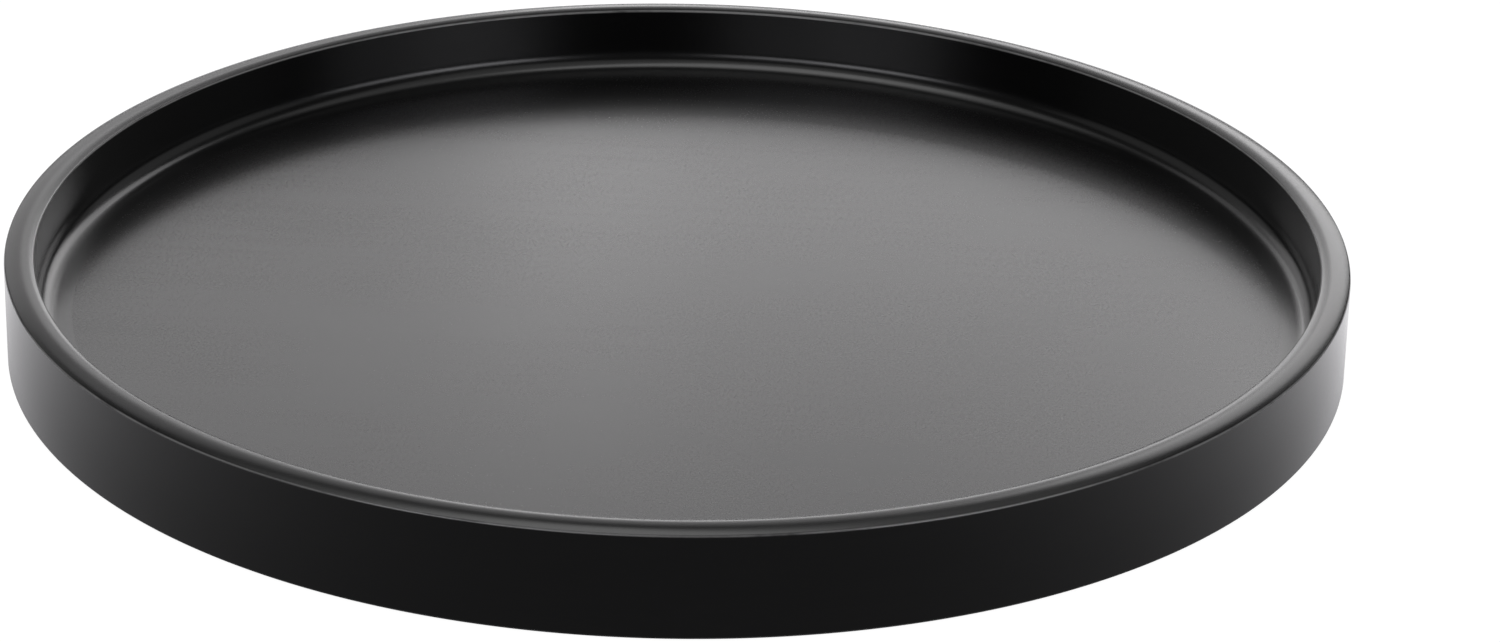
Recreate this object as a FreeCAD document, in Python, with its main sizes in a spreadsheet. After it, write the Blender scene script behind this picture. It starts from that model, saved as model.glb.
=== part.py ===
import FreeCAD, Part
import math
import os
import Sketcher

# Round lacquered tray that stands on a dresser, in millimetres.
# +Z is up, the front faces -Y, and the origin is the middle of the circle on which the four pads stand.
#
# The rim is a ring of mitred wooden segments, with a loose tongue across each mitre. Its section is an
# upright wall with a softly crowned top, a cove at the inner foot, and a lip over the rebated edge of the
# base panel, which is let in from below. Four thin pads are stuck under the foot of the rim.

SIZES = {
    "tray_radius": 135.0,  # outside of the wall
    "tray_height": 22.0,  # from what the tray stands on to the top of the crown
    "wall_width": 6.05,  # outer face of the wall to its inner face
    "crown_circle": 131.0,  # radius of the rim's highest line, which runs inside the middle of the wall
    "outer_fall": 0.9,  # outer arris below the highest line
    "inner_fall": 0.5,  # inner arris below the highest line
    "arris_radius": 0.35,  # rounding of the two top arrises
    "foot_radius": 0.4,  # rounding of the outer bottom edge
    "cove_radius": 4.0,  # hollow curve from the wall to the floor
    "floor_height": 8.5,  # floor of the tray above what it stands on
    "lip_radius": 122.0,  # inner edge of the lip, which is flush with the floor
    "lip_thickness": 3.0,  # lip over the edge of the base panel
    "panel_radius": 127.0,  # edge of the base panel, inside the rim
    "panel_thickness": 6.0,  # base panel
    "segment_count": 12.0,  # mitred segments round the rim
    "tongue_length": 16.0,  # loose tongue, along the rim
    "tongue_height": 12.0,  # loose tongue, up the wall
    "tongue_thickness": 2.0,  # loose tongue, through the wall
    "tongue_middle": 12.0,  # middle of a tongue above what the tray stands on
    "pad_radius": 3.0,  # anti-slip pad
    "pad_thickness": 0.5,  # anti-slip pad
    "pad_circle": 130.0,  # radius of the circle through the pads' middles
}
SEGMENT_COUNT = int(SIZES["segment_count"])
SEGMENT_ANGLE = 360.0 / SEGMENT_COUNT
PAD_ANGLES = {"back_right": 45.0, "back_left": 135.0, "front_left": 225.0, "front_right": 315.0}
SHEET = "Sizes"
UP = FreeCAD.Vector(0, 0, 1)


class Length:
    """A size as a number and as the expression that gives it from the sheet."""

    def __init__(self, value, text):
        self.value = value
        self.text = text

    def joined(self, sign, other, work):
        if not isinstance(other, Length):
            other = Length(float(other), str(float(other)))
        return Length(work(self.value, other.value), f"({self.text} {sign} {other.text})")

    def __add__(self, other):
        return self.joined("+", other, lambda a, b: a + b)

    def __sub__(self, other):
        return self.joined("-", other, lambda a, b: a - b)

    def __mul__(self, other):
        return self.joined("*", other, lambda a, b: a * b)

    def __truediv__(self, other):
        return self.joined("/", other, lambda a, b: a / b)


def named(alias):
    return Length(SIZES[alias], f"{SHEET}.{alias}")


# Sizes that follow from the ones in the sheet.
RIM_BOTTOM = named("pad_thickness")
OUTER_ARRIS = named("tray_height") - named("outer_fall")
INNER_ARRIS = named("tray_height") - named("inner_fall")
WALL_INSIDE = named("tray_radius") - named("wall_width")
WALL_MIDDLE = named("tray_radius") - named("wall_width") / 2
OUTER_SLOPE = named("tray_radius") - named("crown_circle")
INNER_SLOPE = named("crown_circle") - WALL_INSIDE
COVE_TOP = named("floor_height") + named("cove_radius")
COVE_FOOT = WALL_INSIDE - named("cove_radius")
LIP_UNDERSIDE = named("floor_height") - named("lip_thickness")
PANEL_UNDERSIDE = named("floor_height") - named("panel_thickness")
TONGUE_BOTTOM = named("tongue_middle") - named("tongue_height") / 2
HALF_TONGUE = named("tongue_length") / 2


def make_sheet(doc):
    sheet = doc.addObject("Spreadsheet::Sheet", SHEET)
    for row, (alias, value) in enumerate(SIZES.items(), start=1):
        sheet.set(f"A{row}", alias.replace("_", " "))
        sheet.set(f"B{row}", str(value))
        sheet.setAlias(f"B{row}", alias)
    doc.recompute()


def new_body(doc, label):
    body = doc.addObject("PartDesign::Body", label)
    body.Label = label
    return body


def upright_sketch(body, name):
    """A sketch on the body's own XZ plane, with the radius along its x and the height along its y."""
    sketch = body.newObject("Sketcher::SketchObject", name)
    plane = next(feature for feature in body.Origin.OriginFeatures if feature.Role == "XZ_Plane")
    sketch.AttachmentSupport = [(plane, "")]
    sketch.MapMode = "FlatFace"
    return sketch


def tie(sketch, kind, places, length):
    """Adds a constraint of one size and binds it to the sheet."""
    number = sketch.addConstraint(Sketcher.Constraint(kind, *places, length.value))
    sketch.setExpression(f"Constraints[{number}]", length.text)


def hold(sketch, edge, end, x, y):
    """Holds one end of an edge at x and y from the sketch's origin; None means on that axis."""
    for kind, axis, length in (("DistanceX", -2, x), ("DistanceY", -1, y)):
        if length is None:
            sketch.addConstraint(Sketcher.Constraint("PointOnObject", edge, end, axis))
        else:
            tie(sketch, kind, (-1, 1, edge, end), length)


def draw_outline(sketch, corners, arcs):
    """Draws a closed outline. arcs gives, for the edge after a corner, its radius and a point that it passes.

    An arc without a radius leaves its corner in line with the edge before it.
    """
    spots = [FreeCAD.Vector(x.value if x else 0.0, y.value, 0.0) for x, y in corners]
    for number, spot in enumerate(spots):
        following = spots[(number + 1) % len(spots)]
        if number in arcs:
            edge = Part.Arc(spot, arcs[number][1], following)
        else:
            edge = Part.LineSegment(spot, following)
        sketch.addGeometry(edge, False)

    def end_at(edge, spot):
        start_point = sketch.getPoint(edge, 1)
        end_point = sketch.getPoint(edge, 2)
        return 1 if start_point.distanceToPoint(spot) < end_point.distanceToPoint(spot) else 2

    for number, (x, y) in enumerate(corners):
        before = (number - 1) % len(corners)
        here = end_at(number, spots[number])
        there = end_at(before, spots[number])
        in_line = number in arcs and arcs[number][0] is None
        join = "Tangent" if in_line else "Coincident"
        sketch.addConstraint(Sketcher.Constraint(join, before, there, number, here))
        hold(sketch, number, here, x, y)
    for number, (radius, _) in arcs.items():
        if radius:
            tie(sketch, "Radius", (number,), radius)


def edges_at(shape, radius, height):
    """Names of the shape's round edges at this radius about the Z axis and this height."""
    found = []
    for number, edge in enumerate(shape.Edges, start=1):
        curve = edge.Curve
        if isinstance(curve, Part.Circle) and abs(curve.Radius - radius) < 1e-3:
            if abs(curve.Center.z - height) < 1e-3 and abs(curve.Axis.z) > 0.999:
                found.append(f"Edge{number}")
    if not found:
        raise RuntimeError(f"no round edge at radius {radius} and height {height}")
    return found


def round_edges(doc, body, name, places, radius):
    """Fillets the round edges at the given radii and heights."""
    doc.recompute()
    base = body.Tip
    names = [edge for place in places for edge in edges_at(base.Shape, *place)]
    fillet = body.newObject("PartDesign::Fillet", name)
    fillet.Base = (base, names)
    fillet.setExpression("Radius", radius.text)
    fillet.Radius = radius.value
    doc.recompute()


def revolve(body, name, sketch, angle):
    """Turns a sketch about the Z axis, half of the angle to each side of its plane."""
    turned = body.newObject("PartDesign::Revolution", name)
    turned.Profile = (sketch, [""])
    turned.ReferenceAxis = (sketch, ["V_Axis"])
    turned.Midplane = True
    turned.Angle = angle.value
    turned.setExpression("Angle", angle.text)


def draw_tongue(sketch):
    """The loose tongue's section in the middle of the wall: a tall slot with half-round ends."""
    half = named("tongue_thickness") / 2
    left = WALL_MIDDLE - half
    right = WALL_MIDDLE + half
    low = TONGUE_BOTTOM + half
    high = TONGUE_BOTTOM + named("tongue_height") - half
    top = FreeCAD.Vector(WALL_MIDDLE.value, (high + half).value, 0)
    bottom = FreeCAD.Vector(WALL_MIDDLE.value, (low - half).value, 0)
    corners = [(right, low), (right, high), (left, high), (left, low)]
    draw_outline(sketch, corners, {1: (None, top), 3: (None, bottom)})


def crown_arc(width, fall, side):
    """Radius of the arc from the rim's highest line down to an arris, and a point halfway across it."""
    radius = (width * width + fall * fall) / (fall * 2)
    half = width.value / 2
    sagitta = radius.value - math.sqrt(radius.value**2 - half**2)
    return radius, FreeCAD.Vector(SIZES["crown_circle"] + side * half, SIZES["tray_height"] - sagitta, 0)


def draw_rim(sketch):
    """The rim's section: wall, crown, cove, lip, and the rebate below the lip for the base panel."""
    radius = named("tray_radius")
    floor = named("floor_height")
    lip = named("lip_radius")
    panel = named("panel_radius")
    corners = [
        (radius, RIM_BOTTOM),
        (radius, OUTER_ARRIS),
        (named("crown_circle"), named("tray_height")),
        (WALL_INSIDE, INNER_ARRIS),
        (WALL_INSIDE, COVE_TOP),
        (COVE_FOOT, floor),
        (lip, floor),
        (lip, LIP_UNDERSIDE),
        (panel, LIP_UNDERSIDE),
        (panel, RIM_BOTTOM),
    ]
    sagitta = SIZES["cove_radius"] * (1 - math.sqrt(0.5))
    cove_middle = FreeCAD.Vector(WALL_INSIDE.value - sagitta, floor.value + sagitta, 0)
    arcs = {
        1: crown_arc(OUTER_SLOPE, named("outer_fall"), 1),
        2: crown_arc(INNER_SLOPE, named("inner_fall"), -1),
        4: (named("cove_radius"), cove_middle),
    }
    draw_outline(sketch, corners, arcs)


def cut_slot(doc, body, side):
    """Cuts half of a tongue's slot into the segment's end on one side, +1 or -1 about the Z axis."""
    before = body.Tip.Shape.Volume
    name = "LeftSlot" if side > 0 else "RightSlot"
    sketch = upright_sketch(body, name + "Section")
    to_mitre = FreeCAD.Rotation(FreeCAD.Vector(0, 1, 0), side * SEGMENT_ANGLE / 2)
    sketch.AttachmentOffset = FreeCAD.Placement(FreeCAD.Vector(), to_mitre)
    sketch.setExpression("AttachmentOffset.Rotation.Angle", f"{side * 180} / {SHEET}.segment_count")
    draw_tongue(sketch)
    slot = body.newObject("PartDesign::Pocket", name)
    slot.Profile = sketch
    slot.Length = HALF_TONGUE.value
    slot.setExpression("Length", HALF_TONGUE.text)
    slot.Reversed = side > 0
    doc.recompute()
    cut = before - body.Tip.Shape.Volume
    ends = math.pi * (SIZES["tongue_thickness"] / 2) ** 2
    straight = SIZES["tongue_thickness"] * (SIZES["tongue_height"] - SIZES["tongue_thickness"])
    whole = (ends + straight) * HALF_TONGUE.value
    if abs(cut - whole) > 0.02 * whole:
        raise RuntimeError(f"{body.Label} {name} cut {cut:.2f} of {whole:.2f} cubic millimetres")


def turn(item, degrees):
    """Turns a whole piece about the tray's axis to its own place."""
    item.Placement = FreeCAD.Placement(FreeCAD.Vector(), FreeCAD.Rotation(UP, degrees))


def rim_segment(doc, number):
    """One arc of the rim, mitred at both ends, with half a slot for a tongue in each end."""
    body = new_body(doc, f"rim_segment_{number:02d}")
    section = upright_sketch(body, "RimSection")
    draw_rim(section)
    revolve(body, "Arc", section, Length(SEGMENT_ANGLE, f"(360 / {SHEET}.segment_count)"))
    arrises = [(SIZES["tray_radius"], OUTER_ARRIS.value), (WALL_INSIDE.value, INNER_ARRIS.value)]
    round_edges(doc, body, "Arrises", arrises, named("arris_radius"))
    round_edges(doc, body, "Foot", [(SIZES["tray_radius"], RIM_BOTTOM.value)], named("foot_radius"))
    for side in (1, -1):
        cut_slot(doc, body, side)
    turn(body, (number - 0.5) * SEGMENT_ANGLE)
    return body


def joint_tongue(doc, number):
    """The loose tongue across the mitre between one segment and the next."""
    body = new_body(doc, f"joint_tongue_{number:02d}")
    section = upright_sketch(body, "TongueSection")
    draw_tongue(section)
    strip = body.newObject("PartDesign::Pad", "Strip")
    strip.Profile = section
    strip.Midplane = True
    strip.Length = SIZES["tongue_length"]
    strip.setExpression("Length", named("tongue_length").text)
    turn(body, number * SEGMENT_ANGLE)
    return body


def base_panel(doc):
    """The floor: a disc with a rebated edge under the rim's lip, so that its top is flush with the lip."""
    body = new_body(doc, "base_panel")
    section = upright_sketch(body, "PanelSection")
    floor = named("floor_height")
    lip = named("lip_radius")
    panel = named("panel_radius")
    corners = [
        (None, PANEL_UNDERSIDE),
        (panel, PANEL_UNDERSIDE),
        (panel, LIP_UNDERSIDE),
        (lip, LIP_UNDERSIDE),
        (lip, floor),
        (None, floor),
    ]
    draw_outline(section, corners, {})
    revolve(body, "Disc", section, Length(360.0, "360"))
    return body


def anti_slip_pad(doc, place, degrees):
    """A thin round pad under the foot of the rim."""
    pad = doc.addObject("Part::Cylinder", f"anti_slip_pad_{place}")
    pad.Label = f"anti_slip_pad_{place}"
    pad.setExpression("Radius", named("pad_radius").text)
    pad.setExpression("Height", named("pad_thickness").text)
    middle = FreeCAD.Rotation(UP, degrees).multVec(FreeCAD.Vector(SIZES["pad_circle"], 0, 0))
    pad.Placement = FreeCAD.Placement(middle, FreeCAD.Rotation(UP, degrees))
    return pad


def check(doc, pieces):
    for item in doc.Objects:
        if "Invalid" in item.State or "Error" in item.State:
            raise RuntimeError(f"{item.Label} did not build: {item.State}")
    for piece in pieces:
        shape = piece.Shape
        if shape.isNull() or not shape.isValid() or len(shape.Solids) != 1:
            raise RuntimeError(f"{piece.Label} is not one valid solid")


def main():
    doc = FreeCAD.newDocument("VanityTray")
    make_sheet(doc)
    numbers = range(1, SEGMENT_COUNT + 1)
    pieces = [rim_segment(doc, number) for number in numbers]
    pieces += [joint_tongue(doc, number) for number in numbers]
    pieces.append(base_panel(doc))
    pieces += [anti_slip_pad(doc, place, degrees) for place, degrees in PAD_ANGLES.items()]
    doc.recompute()
    check(doc, pieces)
    os.makedirs("parts", exist_ok=True)
    for piece in pieces:
        piece.Shape.exportStep(os.path.join("parts", f"{piece.Label}.step"))
        print(f"{piece.Label}: {piece.Shape.Volume:.1f} cubic millimetres")


main()
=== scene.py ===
"""Round vanity tray in black satin lacquer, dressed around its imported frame.

Run as a script, it builds the lacquered rim, the floor panel, the anti-slip pads and the studio, in metres.
"""

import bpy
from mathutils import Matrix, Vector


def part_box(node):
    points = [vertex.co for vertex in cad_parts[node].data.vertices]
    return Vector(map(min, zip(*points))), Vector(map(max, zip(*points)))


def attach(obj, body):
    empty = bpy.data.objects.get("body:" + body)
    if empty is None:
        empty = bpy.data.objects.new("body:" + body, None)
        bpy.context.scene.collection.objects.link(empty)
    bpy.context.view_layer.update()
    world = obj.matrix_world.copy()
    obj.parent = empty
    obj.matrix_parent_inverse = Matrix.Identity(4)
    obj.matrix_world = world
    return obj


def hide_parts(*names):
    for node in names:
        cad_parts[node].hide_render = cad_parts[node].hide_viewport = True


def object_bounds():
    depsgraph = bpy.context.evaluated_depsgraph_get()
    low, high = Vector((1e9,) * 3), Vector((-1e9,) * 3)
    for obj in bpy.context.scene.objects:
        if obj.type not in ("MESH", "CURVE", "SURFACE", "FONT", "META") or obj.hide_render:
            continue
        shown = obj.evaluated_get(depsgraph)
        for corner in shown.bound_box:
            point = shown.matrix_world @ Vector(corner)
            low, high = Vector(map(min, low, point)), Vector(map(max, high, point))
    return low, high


bl_info = {
    "name": "Lacquered Vanity Tray",
    "version": (1, 0, 0),
    "blender": (4, 5, 0),
    "location": "3D View > Sidebar > Vanity Tray",
    "description": "Builds a round lacquered dresser tray, its materials and its studio",
    "category": "Object",
}

import math

import bmesh
import bpy
from bpy.props import FloatProperty, FloatVectorProperty, IntProperty, PointerProperty
from mathutils import Matrix, Quaternion, Vector

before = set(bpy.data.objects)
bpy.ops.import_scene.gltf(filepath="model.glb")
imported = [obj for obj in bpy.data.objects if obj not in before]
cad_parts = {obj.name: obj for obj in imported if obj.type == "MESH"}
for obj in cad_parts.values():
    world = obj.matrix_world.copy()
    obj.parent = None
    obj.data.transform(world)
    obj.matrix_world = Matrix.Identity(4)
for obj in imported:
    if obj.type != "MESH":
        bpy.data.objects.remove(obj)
CAD_LOW, CAD_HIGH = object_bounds()
PANEL_LOW, PANEL_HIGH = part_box("base_panel")
BODY = "root"
SEGMENTS = sorted(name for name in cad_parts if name.startswith("rim_segment"))
TONGUES = sorted(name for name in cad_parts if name.startswith("joint_tongue"))
PADS = sorted(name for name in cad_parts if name.startswith("anti_slip_pad"))
PAD_LOW, PAD_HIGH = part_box(PADS[0])
SEGMENT_ANGLE = math.tau / len(SEGMENTS)
MM = 0.001
MICRON = 1e-6
UNIT_X = Vector((1.0, 0.0, 0.0))
UNIT_Z = Vector((0.0, 0.0, 1.0))
WHITE = (1.0, 1.0, 1.0, 1.0)
BEVEL = {
    "offset_type": "OFFSET",
    "profile": 0.5,
    "affect": "VERTICES",
    "material": -1,
    "clamp_overlap": True,
}
SHARP = math.radians(40)
PAD_STEPS = 64
DISC_STEPS = 96

# Sprayed film: patterns in waves or cells a metre, heights against the peel's, and changes of roughness.
PEEL_WAVES = 380.0
RIPPLE_WAVES = 95.0
RIPPLE_HEIGHT = 3.0
SPECKLE_WAVES = 3100.0
SPECKLE_HEIGHT = 0.16
SPECKLE_GLOSS = 0.06
CLOUD_WAVES = 21.0
CLOUD_GLOSS = 0.05
NIB_CELLS = 62.0
NIB_RARITY = 0.72
NIB_SMALLEST = 0.008
NIB_SPREAD = 0.014
NIB_GLOSS = 0.2

# Wood grain: waves a metre along the grain and across it twice, and where each pattern starts.
FIGURE_WAVES = (9.0, 70.0, 70.0)
FIGURE_START = (3.1, 1.7, 0.4)
FIGURE_SHARE = 0.55
LINE_WAVES = (16.0, 620.0, 620.0)
LINE_START = (0.6, 5.2, 2.3)
LINE_SHARE = 0.45
PORE_WAVES = (130.0, 3200.0, 3200.0)
PORE_START = (7.7, 0.9, 4.8)
PORE_DEPTH = 0.7
PIECE_SHIFT = 0.37

# Rim and floor.
MITRE_WIDTH = 0.3 * MM
MITRE_DEPTH = 0.6 * MICRON
# The next four set the patchy, lighter, slightly glossier lines along the two top arrises and the foot:
# partly edge wear, partly a painted highlight.
EDGE_LINE_WAVES = 55.0
ARRIS_LINE_WIDTH = 0.36 * MM
FOOT_LINE_WIDTH = 0.5 * MM
EDGE_LINE_GLOSS = -0.05
VEIL = 0.15
STREAK_GLOSS = 0.01
FLOOR_START = (0.31, 0.17, 0.0)
FLOOR_TURN = math.radians(5.0)
UNDER_START = 0.3 * MM
UNDER_FADE = 0.2 * MM
UNDER_GRAIN = 8.0

# Birch and rubber.
BIRCH_GRAIN = 12.0 * MICRON
BIRCH_ROUGHNESS = 0.62
PORE_STAIN = 0.6
PORE_ROUGHNESS = 0.15
RUBBER_PEEL = 4.0 * MICRON
RUBBER_NIBS = 20.0 * MICRON
RUBBER_ROUGHNESS = 0.72
LINT_WAVES = 900.0
LINT_ROUGHNESS = 0.1

# Studio: the ground that the camera sees and the table that the gloss reflects.
GROUND_RADIUS = 6.0
GROUND_COLOUR = (0.15, 0.15, 0.15, 1.0)
GROUND_GLOW = 0.97
GROUND_ROUGHNESS = 0.9
TABLE_RADIUS = 1.2
TABLE_DROP = 0.5 * MM
TABLE_TINT = (0.985, 0.975, 1.0, 1.0)
TABLE_FRONT = 0.16
TABLE_BACK = 3.9
TABLE_RIGHT = 0.55
TABLE_RISE = 1.6
TABLE_NEAR = (0.135, 0.16, 0.8, 1.0)
TABLE_MOST = (0.5, 0.75, 1.7, 1.1)


def metres(name, default, text):
    """A length property with its unit."""
    return FloatProperty(name=name, default=default, description=text, unit="LENGTH", subtype="DISTANCE")


def angle(name, degrees, text):
    """An angle property, given in degrees and kept in radians."""
    return FloatProperty(name=name, default=math.radians(degrees), description=text, subtype="ANGLE")


def brightness(name, default, text):
    """A brightness against white."""
    return FloatProperty(name=name, default=default, description=text, min=0.0)


def share(name, default, text):
    """A property between nothing and all."""
    return FloatProperty(name=name, default=default, description=text, min=0.0, max=1.0, subtype="FACTOR")


def colour(name, default, text):
    """A linear colour property."""
    return FloatVectorProperty(
        name=name, default=default, description=text, size=3, min=0.0, max=1.0, subtype="COLOR"
    )


class RimSettings(bpy.types.PropertyGroup):
    """Section of the rim and how finely it is turned."""

    radius: metres("Radius", CAD_HIGH.x, "Outside of the wall")
    height: metres("Height", CAD_HIGH.z, "Highest line of the rim above the dresser")
    foot: metres("Foot", PAD_HIGH.z, "Underside of the rim above the dresser")
    wall: metres("Wall", 6.05 * MM, "Outer face of the wall to its inner face")
    crown: metres("Crown", 131.0 * MM, "Radius of the rim's highest line")
    outer_fall: metres("Outer fall", 0.9 * MM, "Outer arris below the highest line")
    inner_fall: metres("Inner fall", 0.5 * MM, "Inner arris below the highest line")
    arris: metres("Arris", 0.35 * MM, "Rounding of the two top arrises")
    foot_round: metres("Foot rounding", 0.4 * MM, "Rounding of the outer bottom edge")
    cove: metres("Cove", 4.0 * MM, "Hollow curve between the wall and the floor")
    lip: metres("Lip radius", 122.0 * MM, "Inner edge of the lip, where the floor panel begins")
    steps: IntProperty(name="Steps", default=480, description="Divisions round the rim", min=48)


class PanelSettings(bpy.types.PropertyGroup):
    """Section of the floor panel."""

    radius: metres("Radius", PANEL_HIGH.x, "Edge of the panel inside the rim")
    floor: metres("Floor", PANEL_HIGH.z, "Height of the tray's floor above the dresser")
    underside: metres("Underside", PANEL_LOW.z, "Height of the panel's underside above the dresser")
    rebate: metres("Rebate", 3.0 * MM, "Depth of the rebate under the rim's lip")


class PadSettings(bpy.types.PropertyGroup):
    """Section of an anti-slip pad."""

    radius: metres("Radius", (PAD_HIGH.x - PAD_LOW.x) / 2, "Edge of a pad")
    edge: metres("Edge", 0.14 * MM, "Rounding of a pad's worn lower edge")
    groove: metres("Groove", 0.12 * MM, "Depth of a pad's ring grooves")
    groove_width: metres("Groove width", 0.3 * MM, "Width of a pad's ring grooves")
    grooves: IntProperty(name="Grooves", default=3, description="Rings in a pad's underside", min=1, max=6)


class LacquerSettings(bpy.types.PropertyGroup):
    """Colours and film of the finishes."""

    black: colour("Lacquer", (0.0028, 0.0028, 0.0029), "Body colour of the lacquer")
    rubbed: colour("Rubbed lacquer", (0.012, 0.0115, 0.011), "Lacquer over open grain")
    # A light colour along the top arrises and the foot: a painted highlight line, partly edge wear too.
    edge_highlight_and_wear: colour("Worn arris", (0.3, 0.298, 0.295), "Thin lacquer along the two top arrises")
    rim_roughness: share("Rim roughness", 0.24, "Gloss of the rim")
    floor_roughness: share("Floor roughness", 0.26, "Gloss of the floor")
    under_roughness: share("Underside roughness", 0.55, "Gloss of the thinner coat underneath")
    peel: metres("Peel", 1.1 * MICRON, "Height of the film's orange peel")
    grain: metres("Grain", 0.45 * MICRON, "Height of the grain that shows through the film")
    nibs: metres("Nibs", 14.0 * MICRON, "Height of the few dust nibs under the film")
    birch: colour("Birch", (0.55, 0.38, 0.21), "Bare wood of the tongues, early growth")
    birch_late: colour("Late birch", (0.36, 0.21, 0.1), "Bare wood of the tongues, late growth")
    rubber: colour("Rubber", (0.018, 0.018, 0.019), "Anti-slip pads")
    rubber_dust: colour("Rubber dust", (0.09, 0.085, 0.078), "Lint and dust held by the pads")


class StageSettings(bpy.types.PropertyGroup):
    """Camera and brightness of the studio."""

    distance: metres("Camera distance", 1.0052, "Camera to the middle of the tray's foot")
    elevation: angle("Elevation", 24.207, "Camera above the horizon")
    turn: angle("Turn", 0.8373, "Camera's aim to the right of the tray")
    lift: angle("Lift", 0.1456, "Camera's aim above the tray's foot")
    roll: angle("Roll", 1.2259, "Camera's turn about its own axis")
    lens: FloatProperty(name="Lens", default=118.43, description="Focal length in millimetres", min=10.0)
    backdrop: brightness("Backdrop", 1.03, "Brightness of the backdrop")
    dome: brightness("Dome", 0.03, "Brightness of the studio's walls")
    table: brightness("Table", 1.0, "Brightness of the table in the gloss")


def settings(name):
    """One of the scene's property groups."""
    return getattr(bpy.context.scene, name)


# Meshes


def corner_near(mesh, x, z):
    """The section's corner nearest to a radius and a height."""
    spot = Vector((x, 0.0, z))
    return min(mesh.verts, key=lambda corner: (corner.co - spot).length)


def spun_section(corners, rounds, steps):
    """Turns a closed section about Z. rounds gives radius, height, rounding and divisions of corners."""
    mesh = bmesh.new()
    outline = [mesh.verts.new((x, 0.0, z)) for x, z in corners]
    mesh.faces.new(outline)
    for x, z, rounding, divisions in rounds:
        bmesh.ops.bevel(mesh, geom=[corner_near(mesh, x, z)], offset=rounding, segments=divisions, **BEVEL)
    bmesh.ops.delete(mesh, geom=list(mesh.faces), context="FACES_ONLY")
    axis_edges = [edge for edge in mesh.edges if all(abs(end.co.x) < 1e-9 for end in edge.verts)]
    bmesh.ops.delete(mesh, geom=axis_edges, context="EDGES")
    bmesh.ops.spin(
        mesh,
        geom=list(mesh.verts) + list(mesh.edges),
        axis=UNIT_Z,
        cent=(0.0, 0.0, 0.0),
        angle=math.tau,
        steps=steps,
        use_merge=True,
        use_normal_flip=False,
        use_duplicate=False,
    )
    bmesh.ops.remove_doubles(mesh, verts=list(mesh.verts), dist=1e-7)
    bmesh.ops.recalc_face_normals(mesh, faces=list(mesh.faces))
    return mesh


def finish_piece(mesh, name, material, replaced):
    """Makes the object of a finished mesh and fastens it to the tray's body."""
    for edge in mesh.edges:
        edge.smooth = edge.calc_face_angle(0.0) < SHARP
    for face in mesh.faces:
        face.smooth = True
    data = bpy.data.meshes.new(name)
    mesh.to_mesh(data)
    mesh.free()
    data.materials.append(material)
    piece = bpy.data.objects.new(name, data)
    bpy.context.scene.collection.objects.link(piece)
    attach(piece, BODY)
    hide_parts(*replaced)
    return piece


def crown_arc(start, end, radius, divisions):
    """Points inside the arc from one point of a crown to another. Its middle is straight below the peak."""
    peak = max(start, end, key=lambda point: point[1])
    middle = Vector((peak[0], peak[1] - radius))
    turns = [math.atan2(x - middle.x, z - middle.y) for x, z in (start, end)]
    arc = []
    for number in range(1, divisions):
        turned = turns[0] + (turns[1] - turns[0]) * number / divisions
        arc.append((middle.x + radius * math.sin(turned), middle.y + radius * math.cos(turned)))
    return arc


# Shader nodes


def add_node(tree, kind, **values):
    """Adds a node and sets its own values."""
    node = tree.nodes.new(kind)
    for name, value in values.items():
        setattr(node, name, value)
    return node


def feed(tree, socket, term):
    """Links a socket into an input, or sets a plain number, vector or colour on it."""
    if isinstance(term, bpy.types.NodeSocket):
        tree.links.new(term, socket)
    elif hasattr(term, "__len__") and len(term) == 3 and socket.type == "RGBA":
        socket.default_value = (*term, 1.0)
    else:
        socket.default_value = term


def math_node(tree, operation, *terms, clamp=False):
    """A Math node; each term is a number or a socket."""
    node = add_node(tree, "ShaderNodeMath", operation=operation, use_clamp=clamp)
    for socket, term in zip(node.inputs, terms):
        feed(tree, socket, term)
    return node.outputs[0]


def step_node(tree, value, start, end, low=0.0, high=1.0):
    """A soft step from low to high while the value goes from start to end."""
    node = add_node(tree, "ShaderNodeMapRange", interpolation_type="SMOOTHSTEP")
    terms = {"Value": value, "From Min": start, "From Max": end, "To Min": low, "To Max": high}
    for name, term in terms.items():
        feed(tree, node.inputs[name], term)
    return node.outputs["Result"]


def length_node(tree, first, second):
    """The length of the hypotenuse over two sides."""
    squares = [math_node(tree, "MULTIPLY", side, side) for side in (first, second)]
    return math_node(tree, "SQRT", math_node(tree, "ADD", *squares))


def product(tree, *terms):
    """Several numbers multiplied together."""
    result = terms[0]
    for term in terms[1:]:
        result = math_node(tree, "MULTIPLY", result, term)
    return result


def total(tree, *terms):
    """The sum of several numbers."""
    result = terms[0]
    for term in terms[1:]:
        result = math_node(tree, "ADD", result, term)
    return result


def split_node(tree, vector):
    """The three coordinates of a vector."""
    node = add_node(tree, "ShaderNodeSeparateXYZ")
    feed(tree, node.inputs[0], vector)
    return node.outputs


def mix_node(tree, factor, first, second):
    """Mixes two colours."""
    node = add_node(tree, "ShaderNodeMix", data_type="RGBA")
    feed(tree, node.inputs["Factor"], factor)
    feed(tree, node.inputs[6], first)
    feed(tree, node.inputs[7], second)
    return node.outputs[2]


def scaled(tree, vector, scale, location=(0.0, 0.0, 0.0), turn=0.0):
    """Turns a pattern's coordinates about Z and scales each of them."""
    turned = add_node(tree, "ShaderNodeVectorRotate", rotation_type="Z_AXIS")
    feed(tree, turned.inputs["Vector"], vector)
    turned.inputs["Angle"].default_value = turn
    node = add_node(tree, "ShaderNodeVectorMath", operation="MULTIPLY_ADD")
    feed(tree, node.inputs[0], turned.outputs[0])
    node.inputs[1].default_value = scale
    node.inputs[2].default_value = location
    return node.outputs[0]


def noise(tree, vector, scale=1.0, detail=2.0, roughness=0.5, distortion=0.0):
    """A noise texture's value."""
    node = add_node(tree, "ShaderNodeTexNoise")
    feed(tree, node.inputs["Vector"], vector)
    node.inputs["Scale"].default_value = scale
    node.inputs["Detail"].default_value = detail
    node.inputs["Roughness"].default_value = roughness
    node.inputs["Distortion"].default_value = distortion
    return node.outputs["Fac"]


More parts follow.
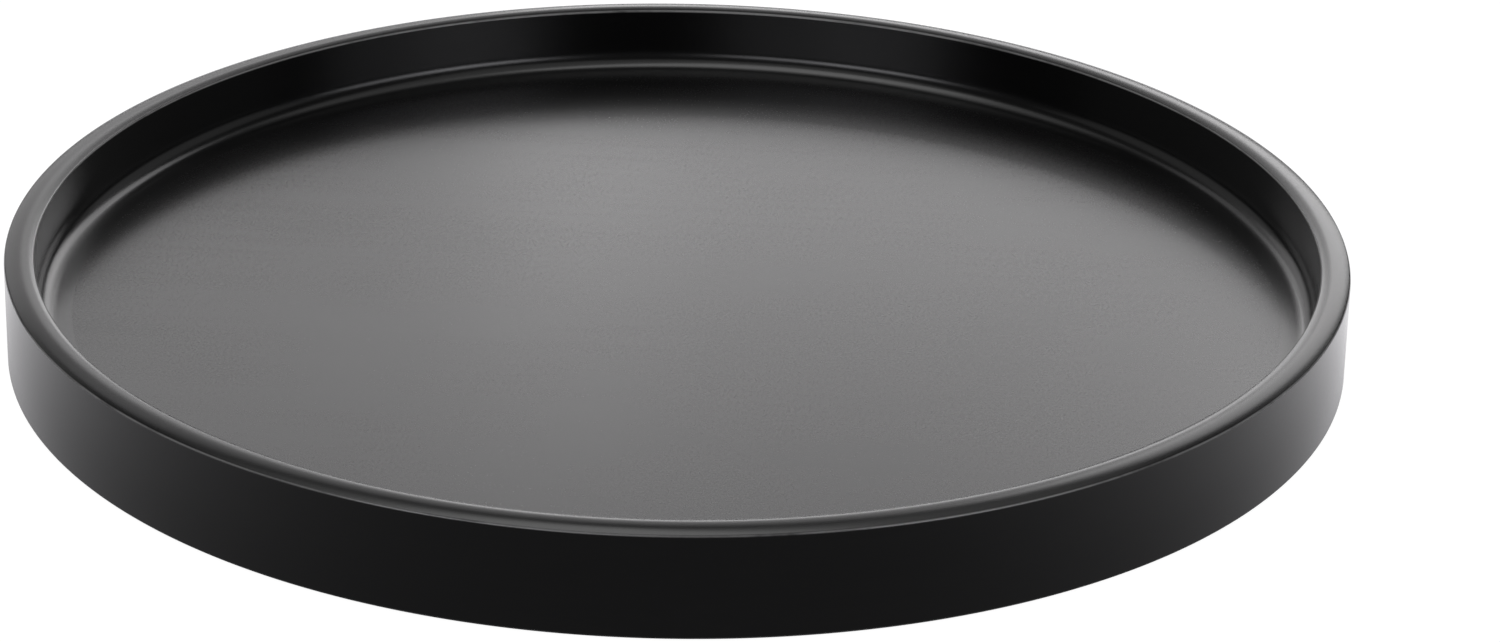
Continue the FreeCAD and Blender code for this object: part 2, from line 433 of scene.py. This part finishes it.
def start_group(name, inputs, outputs):
    """A new node group with its sockets. inputs gives name, kind and default."""
    tree = bpy.data.node_groups.new(name, "ShaderNodeTree")
    for label, kind, default in inputs:
        socket = tree.interface.new_socket(name=label, in_out="INPUT", socket_type=kind)
        if default is not None:
            socket.default_value = default
    for label, kind in outputs:
        tree.interface.new_socket(name=label, in_out="OUTPUT", socket_type=kind)
    source = tree.nodes.new("NodeGroupInput")
    sink = tree.nodes.new("NodeGroupOutput")
    return tree, source.outputs, sink.inputs


def place_group(tree, group, **values):
    """Puts a node group in a material with its own values."""
    node = tree.nodes.new("ShaderNodeGroup")
    node.node_tree = group
    for label, term in values.items():
        feed(tree, node.inputs[label.replace("_", " ")], term)
    return node.outputs


def film_group():
    """Sprayed film: orange peel, slow spray clouds in its gloss, fine speckle, and a few dust nibs."""
    inputs = [
        ("Vector", "NodeSocketVector", None),
        ("Peel", "NodeSocketFloat", 1.0 * MICRON),
        ("Nibs", "NodeSocketFloat", 10.0 * MICRON),
        ("Gloss", "NodeSocketFloat", 0.25),
    ]
    outputs = [("Height", "NodeSocketFloat"), ("Roughness", "NodeSocketFloat")]
    tree, source, sink = start_group("Sprayed film", inputs, outputs)
    place = source["Vector"]
    peel = math_node(tree, "MULTIPLY", noise(tree, place, PEEL_WAVES, 1.0), source["Peel"])
    ripple = product(tree, noise(tree, place, RIPPLE_WAVES, 0.0), source["Peel"], RIPPLE_HEIGHT)
    speckle = noise(tree, place, SPECKLE_WAVES, 1.0)
    fine = product(tree, speckle, source["Peel"], SPECKLE_HEIGHT)
    specks = add_node(tree, "ShaderNodeTexVoronoi", feature="F1")
    feed(tree, specks.inputs["Vector"], place)
    specks.inputs["Scale"].default_value = NIB_CELLS
    chance = add_node(tree, "ShaderNodeSeparateColor")
    feed(tree, chance.inputs[0], specks.outputs["Color"])
    chosen = math_node(tree, "GREATER_THAN", chance.outputs[0], NIB_RARITY)
    size = math_node(tree, "MULTIPLY_ADD", chance.outputs[1], NIB_SPREAD, NIB_SMALLEST)
    dot = math_node(tree, "MULTIPLY", step_node(tree, specks.outputs["Distance"], size, 0.0), chosen)
    nib = math_node(tree, "MULTIPLY", dot, source["Nibs"])
    feed(tree, sink["Height"], total(tree, peel, ripple, fine, nib))
    clouds = noise(tree, place, CLOUD_WAVES, 2.0)
    cloud = math_node(tree, "MULTIPLY_ADD", clouds, CLOUD_GLOSS, -CLOUD_GLOSS / 2)
    grit = math_node(tree, "MULTIPLY_ADD", speckle, SPECKLE_GLOSS, -SPECKLE_GLOSS / 2)
    gloss = total(tree, source["Gloss"], cloud, grit)
    feed(tree, sink["Roughness"], math_node(tree, "MULTIPLY_ADD", dot, NIB_GLOSS, gloss))
    return tree


def grain_group():
    """Wood grain along X: long figure, growth lines and short pores."""
    inputs = [("Vector", "NodeSocketVector", None), ("Height", "NodeSocketFloat", 1.0 * MICRON)]
    outputs = [("Grain", "NodeSocketFloat"), ("Pores", "NodeSocketFloat"), ("Height", "NodeSocketFloat")]
    tree, source, sink = start_group("Wood grain", inputs, outputs)
    place = source["Vector"]
    figure = noise(tree, scaled(tree, place, FIGURE_WAVES, FIGURE_START), 1.0, 2.0, 0.55, 0.6)
    lines = noise(tree, scaled(tree, place, LINE_WAVES, LINE_START), 1.0, 3.0, 0.6, 0.3)
    fine = math_node(tree, "MULTIPLY", lines, LINE_SHARE)
    blend = math_node(tree, "MULTIPLY_ADD", figure, FIGURE_SHARE, fine)
    grain = step_node(tree, blend, 0.33, 0.67)
    dashes = noise(tree, scaled(tree, place, PORE_WAVES, PORE_START), 1.0, 1.0)
    pores = step_node(tree, dashes, 0.62, 0.74)
    rise = math_node(tree, "SUBTRACT", grain, math_node(tree, "MULTIPLY", pores, PORE_DEPTH))
    feed(tree, sink["Grain"], grain)
    feed(tree, sink["Pores"], pores)
    feed(tree, sink["Height"], math_node(tree, "MULTIPLY", rise, source["Height"]))
    return tree


def segment_group():
    """Coordinates of each mitred piece of the rim, along, across and up, and the line of its mitres."""
    inputs = [("Vector", "NodeSocketVector", None), ("Offset", "NodeSocketFloat", 0.0)]
    outputs = [("Vector", "NodeSocketVector"), ("Mitre", "NodeSocketFloat")]
    tree, source, sink = start_group("Rim pieces", inputs, outputs)
    x, y, z = split_node(tree, source["Vector"])
    radius = length_node(tree, x, y)
    turned = math_node(tree, "SUBTRACT", math_node(tree, "ARCTAN2", y, x), source["Offset"])
    number = math_node(tree, "FLOOR", math_node(tree, "DIVIDE", turned, SEGMENT_ANGLE))
    centre = math_node(tree, "MULTIPLY", math_node(tree, "ADD", number, 0.5), SEGMENT_ANGLE)
    inside = math_node(tree, "SUBTRACT", turned, centre)
    along = math_node(tree, "MULTIPLY", radius, math_node(tree, "SINE", inside))
    across = math_node(tree, "MULTIPLY", radius, math_node(tree, "COSINE", inside))
    shifted = math_node(tree, "MULTIPLY_ADD", number, PIECE_SHIFT, along)
    joined = add_node(tree, "ShaderNodeCombineXYZ")
    for socket, term in zip(joined.inputs, (shifted, across, z)):
        feed(tree, socket, term)
    edge = math_node(tree, "SUBTRACT", SEGMENT_ANGLE / 2, math_node(tree, "ABSOLUTE", inside))
    gap = math_node(tree, "MULTIPLY", edge, radius)
    feed(tree, sink["Vector"], joined.outputs[0])
    feed(tree, sink["Mitre"], step_node(tree, gap, MITRE_WIDTH, 0.0))
    return tree


def edge_line_group():
    """A patchy mask near one radius and height along a round edge, for a light line there: partly wear,
    partly a painted highlight.
    """
    inputs = [
        ("Vector", "NodeSocketVector", None),
        ("Radius", "NodeSocketFloat", 0.135),
        ("Height", "NodeSocketFloat", 0.02),
        ("Width", "NodeSocketFloat", 0.6 * MM),
    ]
    # The group is named for wear, but its light line is also a painted highlight.
    tree, source, sink = start_group("Edge wear", inputs, [("EdgeLine", "NodeSocketFloat")])
    x, y, z = split_node(tree, source["Vector"])
    radius = length_node(tree, x, y)
    out = math_node(tree, "SUBTRACT", radius, source["Radius"])
    up = math_node(tree, "SUBTRACT", z, source["Height"])
    near = step_node(tree, length_node(tree, out, up), source["Width"], 0.0)
    patches = step_node(tree, noise(tree, source["Vector"], EDGE_LINE_WAVES, 4.0, 0.65), 0.2, 0.55)
    feed(tree, sink["EdgeLine"], math_node(tree, "MULTIPLY", near, patches))
    return tree


def shared(name, build):
    """A node group by its name, built the first time that a material asks for it."""
    return bpy.data.node_groups.get(name) or build()


def start_material(name):
    """A new material, its tree, its shader and its object coordinates."""
    material = bpy.data.materials.new(name)
    material.use_nodes = True
    tree = material.node_tree
    place = add_node(tree, "ShaderNodeTexCoord").outputs["Object"]
    return material, tree, tree.nodes["Principled BSDF"], place


def bump(tree, height, shader):
    """Turns a height in metres into the shader's normal."""
    node = add_node(tree, "ShaderNodeBump")
    node.inputs["Strength"].default_value = 1.0
    node.inputs["Distance"].default_value = 1.0
    feed(tree, node.inputs["Height"], height)
    feed(tree, shader.inputs["Normal"], node.outputs[0])


def underside_mask(tree, place, level):
    """One below a height, nothing above it."""
    height = split_node(tree, place)[2]
    return step_node(tree, height, level, level - UNDER_FADE)


def sprayed_film(tree, place, gloss):
    """The lacquer's own film at one gloss."""
    finish = settings("tray_lacquer")
    film = shared("Sprayed film", film_group)
    return place_group(tree, film, Vector=place, Peel=finish.peel, Nibs=finish.nibs, Gloss=gloss)


def rim_lacquer():
    """Satin black over the mitred rim: grain along each piece, hairline mitres, and light lines along the
    arrises and foot that are partly wear, partly a painted highlight.
    """
    finish = settings("tray_lacquer")
    rim = settings("tray_rim")
    material, tree, shader, place = start_material("Rim lacquer")
    pieces = place_group(tree, shared("Rim pieces", segment_group), Vector=place)
    grain_kind = shared("Wood grain", grain_group)
    grain = place_group(tree, grain_kind, Vector=pieces["Vector"], Height=finish.grain)
    film = sprayed_film(tree, place, finish.rim_roughness)
    edges = [
        (rim.radius, rim.height - rim.outer_fall, ARRIS_LINE_WIDTH),
        (rim.radius - rim.wall, rim.height - rim.inner_fall, ARRIS_LINE_WIDTH),
        (rim.radius, rim.foot, FOOT_LINE_WIDTH),
    ]
    # Mask of the light lines along the arrises and foot: partly edge wear, partly a painted highlight.
    highlight_and_wear = 0.0
    edge_line_kind = shared("Edge wear", edge_line_group)
    for radius, height, width in edges:
        mask = place_group(tree, edge_line_kind, Vector=place, Radius=radius, Height=height, Width=width)
        highlight_and_wear = math_node(tree, "MAXIMUM", mask["EdgeLine"], highlight_and_wear)
    under = underside_mask(tree, place, rim.foot + UNDER_START)
    veil = math_node(tree, "MULTIPLY", grain["Grain"], VEIL)
    coat = mix_node(tree, veil, finish.black, finish.rubbed)
    # The lighter colour along the arrises and foot is a painted highlight, partly edge wear.
    feed(tree, shader.inputs["Base Color"], mix_node(tree, highlight_and_wear, coat, finish.edge_highlight_and_wear))
    rubbed = math_node(tree, "MULTIPLY_ADD", highlight_and_wear, EDGE_LINE_GLOSS, film["Roughness"])
    coarse = finish.under_roughness - finish.rim_roughness
    feed(tree, shader.inputs["Roughness"], math_node(tree, "MULTIPLY_ADD", under, coarse, rubbed))
    sunk = math_node(tree, "MULTIPLY", pieces["Mitre"], -MITRE_DEPTH)
    bump(tree, total(tree, grain["Height"], film["Height"], sunk), shader)
    return material


def floor_lacquer():
    """Satin black over the floor panel: straight grain from side to side, peel and nibs."""
    finish = settings("tray_lacquer")
    panel = settings("tray_panel")
    material, tree, shader, place = start_material("Floor lacquer")
    along = scaled(tree, place, (1.0, 1.0, 1.0), FLOOR_START, FLOOR_TURN)
    grain = place_group(tree, shared("Wood grain", grain_group), Vector=along, Height=finish.grain)
    film = sprayed_film(tree, place, finish.floor_roughness)
    under = underside_mask(tree, place, panel.underside + UNDER_START)
    veil = math_node(tree, "MULTIPLY", grain["Grain"], VEIL)
    feed(tree, shader.inputs["Base Color"], mix_node(tree, veil, finish.black, finish.rubbed))
    streaked = math_node(tree, "MULTIPLY_ADD", grain["Grain"], STREAK_GLOSS, film["Roughness"])
    coarse = finish.under_roughness - finish.floor_roughness
    feed(tree, shader.inputs["Roughness"], math_node(tree, "MULTIPLY_ADD", under, coarse, streaked))
    bare = product(tree, grain["Height"], under, UNDER_GRAIN)
    bump(tree, total(tree, grain["Height"], film["Height"], bare), shader)
    return material


def bare_birch():
    """Unfinished birch of the loose tongues, with its grain along each of them."""
    finish = settings("tray_lacquer")
    material, tree, shader, place = start_material("Bare birch")
    pieces = place_group(tree, shared("Rim pieces", segment_group), Vector=place, Offset=SEGMENT_ANGLE / 2)
    grain_kind = shared("Wood grain", grain_group)
    grain = place_group(tree, grain_kind, Vector=pieces["Vector"], Height=BIRCH_GRAIN)
    early = mix_node(tree, grain["Grain"], finish.birch_late, finish.birch)
    pored = mix_node(tree, math_node(tree, "MULTIPLY", grain["Pores"], PORE_STAIN), early, finish.birch_late)
    feed(tree, shader.inputs["Base Color"], pored)
    rough = math_node(tree, "MULTIPLY_ADD", grain["Pores"], PORE_ROUGHNESS, BIRCH_ROUGHNESS)
    feed(tree, shader.inputs["Roughness"], rough)
    bump(tree, grain["Height"], shader)
    return material


def pad_rubber():
    """Matt moulded rubber with a fine tooth, holding a little lint."""
    finish = settings("tray_lacquer")
    material, tree, shader, place = start_material("Pad rubber")
    film_kind = shared("Sprayed film", film_group)
    values = {"Peel": RUBBER_PEEL, "Nibs": RUBBER_NIBS, "Gloss": RUBBER_ROUGHNESS}
    film = place_group(tree, film_kind, Vector=place, **values)
    lint = step_node(tree, noise(tree, place, LINT_WAVES, 5.0, 0.7, 0.8), 0.55, 0.75)
    feed(tree, shader.inputs["Base Color"], mix_node(tree, lint, finish.rubber, finish.rubber_dust))
    rough = math_node(tree, "MULTIPLY_ADD", lint, LINT_ROUGHNESS, film["Roughness"])
    feed(tree, shader.inputs["Roughness"], rough)
    bump(tree, film["Height"], shader)
    return material


# Pieces


class TRAY_OT_rim(bpy.types.Operator):
    """Build the lacquered rim, which stands for the glued-up segments"""

    bl_idname = "tray.rim"
    bl_label = "Rim"

    def execute(self, context):
        rim = settings("tray_rim")
        panel = settings("tray_panel")
        inside = rim.radius - rim.wall
        step = panel.floor - panel.rebate
        outer = (rim.radius, rim.height - rim.outer_fall)
        inner = (inside, rim.height - rim.inner_fall)
        peak = (rim.crown, rim.height)
        outer_width = rim.radius - rim.crown
        inner_width = rim.crown - inside
        outer_arc = (outer_width**2 + rim.outer_fall**2) / (2 * rim.outer_fall)
        inner_arc = (inner_width**2 + rim.inner_fall**2) / (2 * rim.inner_fall)
        corners = [
            (rim.radius, rim.foot),
            outer,
            *crown_arc(outer, peak, outer_arc, 9),
            peak,
            *crown_arc(peak, inner, inner_arc, 6),
            inner,
            (inside, panel.floor),
            (rim.lip, panel.floor),
            (rim.lip, step),
            (panel.radius, step),
            (panel.radius, rim.foot),
        ]
        rounds = [
            (*outer, rim.arris, 6),
            (*inner, rim.arris, 6),
            (inside, panel.floor, rim.cove, 12),
            (rim.radius, rim.foot, rim.foot_round, 4),
        ]
        mesh = spun_section(corners, rounds, rim.steps)
        finish_piece(mesh, "lacquered_rim", rim_lacquer(), SEGMENTS)
        return {"FINISHED"}


class TRAY_OT_panel(bpy.types.Operator):
    """Build the floor panel with its rebated edge"""

    bl_idname = "tray.panel"
    bl_label = "Floor panel"

    def execute(self, context):
        rim = settings("tray_rim")
        panel = settings("tray_panel")
        step = panel.floor - panel.rebate
        corners = [
            (0.0, panel.underside),
            (panel.radius, panel.underside),
            (panel.radius, step),
            (rim.lip, step),
            (rim.lip, panel.floor),
            (0.0, panel.floor),
        ]
        mesh = spun_section(corners, [], rim.steps)
        finish_piece(mesh, "floor_panel", floor_lacquer(), ["base_panel"])
        return {"FINISHED"}


class TRAY_OT_tongues(bpy.types.Operator):
    """Finish the loose tongues inside the rim's mitres in bare birch"""

    bl_idname = "tray.tongues"
    bl_label = "Tongues"

    def execute(self, context):
        birch = bare_birch()
        for name in TONGUES:
            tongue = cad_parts[name]
            for slot in tongue.material_slots:
                slot.material = birch
        return {"FINISHED"}


class TRAY_OT_pads(bpy.types.Operator):
    """Build the four grooved anti-slip pads"""

    bl_idname = "tray.pads"
    bl_label = "Anti-slip pads"

    def execute(self, context):
        pad = settings("tray_pads")
        rubber = pad_rubber()
        pitch = pad.radius / (pad.grooves + 1)
        thickness = PAD_HIGH.z - PAD_LOW.z
        corners = [(0.0, thickness), (0.0, 0.0)]
        for number in range(1, pad.grooves + 1):
            middle = number * pitch
            low = middle - pad.groove_width / 2
            high = middle + pad.groove_width / 2
            corners += [(low, 0.0), (low, pad.groove), (high, pad.groove), (high, 0.0)]
        corners += [(pad.radius, 0.0), (pad.radius, thickness)]
        for name in PADS:
            low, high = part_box(name)
            mesh = spun_section(corners, [(pad.radius, 0.0, pad.edge, 4)], PAD_STEPS)
            foot = Vector(((low.x + high.x) / 2, (low.y + high.y) / 2, low.z))
            bmesh.ops.transform(mesh, matrix=Matrix.Translation(foot), verts=list(mesh.verts))
            finish_piece(mesh, name.replace("anti_slip", "rubber"), rubber, [name])
        return {"FINISHED"}


class TRAY_OT_stage(bpy.types.Operator):
    """Lay the pale floor, the soft lights and the camera"""

    bl_idname = "tray.stage"
    bl_label = "Studio"

    def execute(self, context):
        stage = settings("tray_stage")
        scene = context.scene
        scene.view_settings.view_transform = "Standard"
        add_camera(scene, stage)
        add_ground(scene)
        add_table(scene, stage)
        add_world(scene, stage)
        for softbox in SOFTBOXES:
            add_softbox(scene, *softbox)
        return {"FINISHED"}


# Studio

# Soft lights: name, azimuth from the front towards the right and elevation in degrees, distance, width and
# height in metres, brightness against white, and colour.
SOFTBOXES = [
    ("back_right_low_softbox", 167.0, 15.0, 1.4, 0.8, 0.36, 2.75, (1.0, 0.99, 1.0)),
    ("back_right_high_softbox", 157.0, 33.0, 1.4, 0.4, 0.62, 2.2, (1.0, 0.99, 1.0)),
    ("back_softbox", 181.0, 27.0, 1.4, 0.74, 0.27, 1.15, (1.0, 0.99, 1.0)),
    ("back_high_softbox", 188.0, 40.0, 1.4, 1.1, 0.37, 0.75, (1.0, 0.99, 1.0)),
    ("back_left_softbox", 198.0, 16.0, 1.4, 0.8, 0.56, 1.05, (1.0, 0.99, 1.0)),
    ("front_left_softbox", -40.0, 22.0, 1.4, 0.5, 0.39, 3.3, (0.96, 0.96, 1.0)),
    ("front_softbox", -20.0, 22.0, 1.4, 0.5, 0.39, 2.4, (0.96, 0.96, 1.0)),
    ("front_right_softbox", 40.0, 22.0, 1.4, 0.5, 0.39, 3.6, (0.96, 0.96, 1.0)),
    ("right_softbox", 60.0, 22.0, 1.4, 0.5, 0.39, 2.0, (0.96, 0.96, 1.0)),
    ("far_left_softbox", -112.0, 24.0, 1.4, 1.5, 0.7, 0.3, (1.0, 1.0, 1.0)),
    ("far_right_softbox", 112.0, 24.0, 1.4, 1.5, 0.7, 0.3, (1.0, 1.0, 1.0)),
    ("top_softbox", 225.0, 80.0, 1.0, 0.6, 0.5, 2.0, (1.0, 1.0, 1.0)),
    ("overhead_softbox", 0.0, 89.0, 1.4, 1.8, 1.8, 0.55, (1.0, 1.0, 1.0)),
]


def add_camera(scene, stage):
    """Stands the camera in front of the tray, above it."""
    data = bpy.data.cameras.new("Camera")
    data.lens = stage.lens
    data.sensor_width = 36.0
    data.clip_end = 20.0
    camera = bpy.data.objects.new("Camera", data)
    scene.collection.objects.link(camera)
    height = stage.distance * math.sin(stage.elevation)
    camera.location = (0.0, -stage.distance * math.cos(stage.elevation), height)
    forward = -camera.location.normalized()
    up = UNIT_X.cross(forward)
    aim = forward + UNIT_X * math.tan(stage.turn) + up * math.tan(stage.lift)
    camera.rotation_mode = "QUATERNION"
    camera.rotation_quaternion = aim.to_track_quat("-Z", "Y") @ Quaternion(UNIT_Z, stage.roll)
    scene.camera = camera


def add_disc(scene, name, radius, height, material):
    """A flat round stage piece."""
    mesh = bmesh.new()
    bmesh.ops.create_circle(mesh, cap_ends=True, radius=radius, segments=DISC_STEPS)
    bmesh.ops.transform(mesh, matrix=Matrix.Translation((0.0, 0.0, height)), verts=list(mesh.verts))
    data = bpy.data.meshes.new(name)
    mesh.to_mesh(data)
    mesh.free()
    data.materials.append(material)
    disc = bpy.data.objects.new(name, data)
    scene.collection.objects.link(disc)
    disc.visible_diffuse = False
    disc.visible_shadow = False
    return disc


def add_ground(scene):
    """The pale ground that the camera sees, with a light shadow."""
    material, _, shader, _ = start_material("Pale ground")
    shader.inputs["Base Color"].default_value = GROUND_COLOUR
    shader.inputs["Roughness"].default_value = GROUND_ROUGHNESS
    shader.inputs["Specular IOR Level"].default_value = 0.0
    shader.inputs["Emission Color"].default_value = WHITE
    shader.inputs["Emission Strength"].default_value = GROUND_GLOW
    ground = add_disc(scene, "ground", GROUND_RADIUS, 0.0, material)
    ground.visible_glossy = False


def add_table(scene, stage):
    """The table that the gloss reflects: dim in front, bright at the sides and behind."""
    material = bpy.data.materials.new("Table glow")
    material.use_nodes = True
    tree = material.node_tree
    tree.nodes.remove(tree.nodes["Principled BSDF"])
    shader = add_node(tree, "ShaderNodeEmission")
    feed(tree, tree.nodes["Material Output"].inputs["Surface"], shader.outputs[0])
    x, y = split_node(tree, add_node(tree, "ShaderNodeTexCoord").outputs["Object"])[:2]
    radius = length_node(tree, x, y)
    back = math_node(tree, "MULTIPLY_ADD", math_node(tree, "DIVIDE", y, radius), 0.5, 0.5, clamp=True)
    side = math_node(tree, "MULTIPLY_ADD", math_node(tree, "DIVIDE", x, radius), TABLE_RIGHT, TABLE_BACK)
    # The glow fades near the tray's foot and in front of it: a painted shadow of the tray on the reflected
    # table.
    far = step_node(tree, radius, *TABLE_NEAR)
    behind = product(tree, math_node(tree, "POWER", back, TABLE_RISE), side, far)
    most = step_node(tree, back, *TABLE_MOST)
    glow = math_node(tree, "MINIMUM", math_node(tree, "ADD", behind, TABLE_FRONT), most)
    feed(tree, shader.inputs["Strength"], math_node(tree, "MULTIPLY", glow, stage.table))
    shader.inputs["Color"].default_value = TABLE_TINT
    table = add_disc(scene, "table_glow", TABLE_RADIUS, -TABLE_DROP, material)
    table.visible_camera = False


def add_world(scene, stage):
    """Dim studio walls, and a pale backdrop for the camera."""
    world = bpy.data.worlds.new("Studio")
    world.use_nodes = True
    tree = world.node_tree
    shader = tree.nodes["Background"]
    shader.inputs["Color"].default_value = WHITE
    path = add_node(tree, "ShaderNodeLightPath").outputs["Is Camera Ray"]
    feed(tree, shader.inputs["Strength"], step_node(tree, path, 0.0, 1.0, stage.dome, stage.backdrop))
    scene.world = world


def add_softbox(scene, name, azimuth, elevation, distance, width, height, brightness, tint):
    """A rectangular soft light of an even brightness that faces the tray."""
    data = bpy.data.lights.new(name, "AREA")
    data.shape = "RECTANGLE"
    data.size = width
    data.size_y = height
    data.color = tint
    data.energy = brightness * width * height * math.pi
    light = bpy.data.objects.new(name, data)
    scene.collection.objects.link(light)
    around = math.radians(azimuth)
    above = math.radians(elevation)
    level = distance * math.cos(above)
    light.location = (level * math.sin(around), -level * math.cos(around), distance * math.sin(above))
    light.rotation_mode = "QUATERNION"
    light.rotation_quaternion = (-light.location).to_track_quat("-Z", "Y")
    light.visible_camera = False


class TRAY_PT_panel(bpy.types.Panel):
    """Lists the tray's pieces and its studio."""

    bl_label = "Vanity Tray"
    bl_idname = "TRAY_PT_panel"
    bl_space_type = "VIEW_3D"
    bl_region_type = "UI"
    bl_category = "Vanity Tray"

    def draw(self, context):
        for operator in OPERATORS:
            self.layout.operator(operator.bl_idname)


GROUPS = {
    "tray_rim": RimSettings,
    "tray_panel": PanelSettings,
    "tray_pads": PadSettings,
    "tray_lacquer": LacquerSettings,
    "tray_stage": StageSettings,
}
OPERATORS = (TRAY_OT_rim, TRAY_OT_panel, TRAY_OT_tongues, TRAY_OT_pads, TRAY_OT_stage)


def register():
    for group in GROUPS.values():
        bpy.utils.register_class(group)
    for operator in OPERATORS:
        bpy.utils.register_class(operator)
    bpy.utils.register_class(TRAY_PT_panel)
    for name, group in GROUPS.items():
        setattr(bpy.types.Scene, name, PointerProperty(type=group))


def unregister():
    for name in GROUPS:
        delattr(bpy.types.Scene, name)
    bpy.utils.unregister_class(TRAY_PT_panel)
    for cls in (*OPERATORS, *GROUPS.values()):
        bpy.utils.unregister_class(cls)


def main():
    register()
    bpy.ops.tray.rim()
    bpy.ops.tray.panel()
    bpy.ops.tray.tongues()
    bpy.ops.tray.pads()
    bpy.ops.tray.stage()


if __name__ == "__main__":
    main()
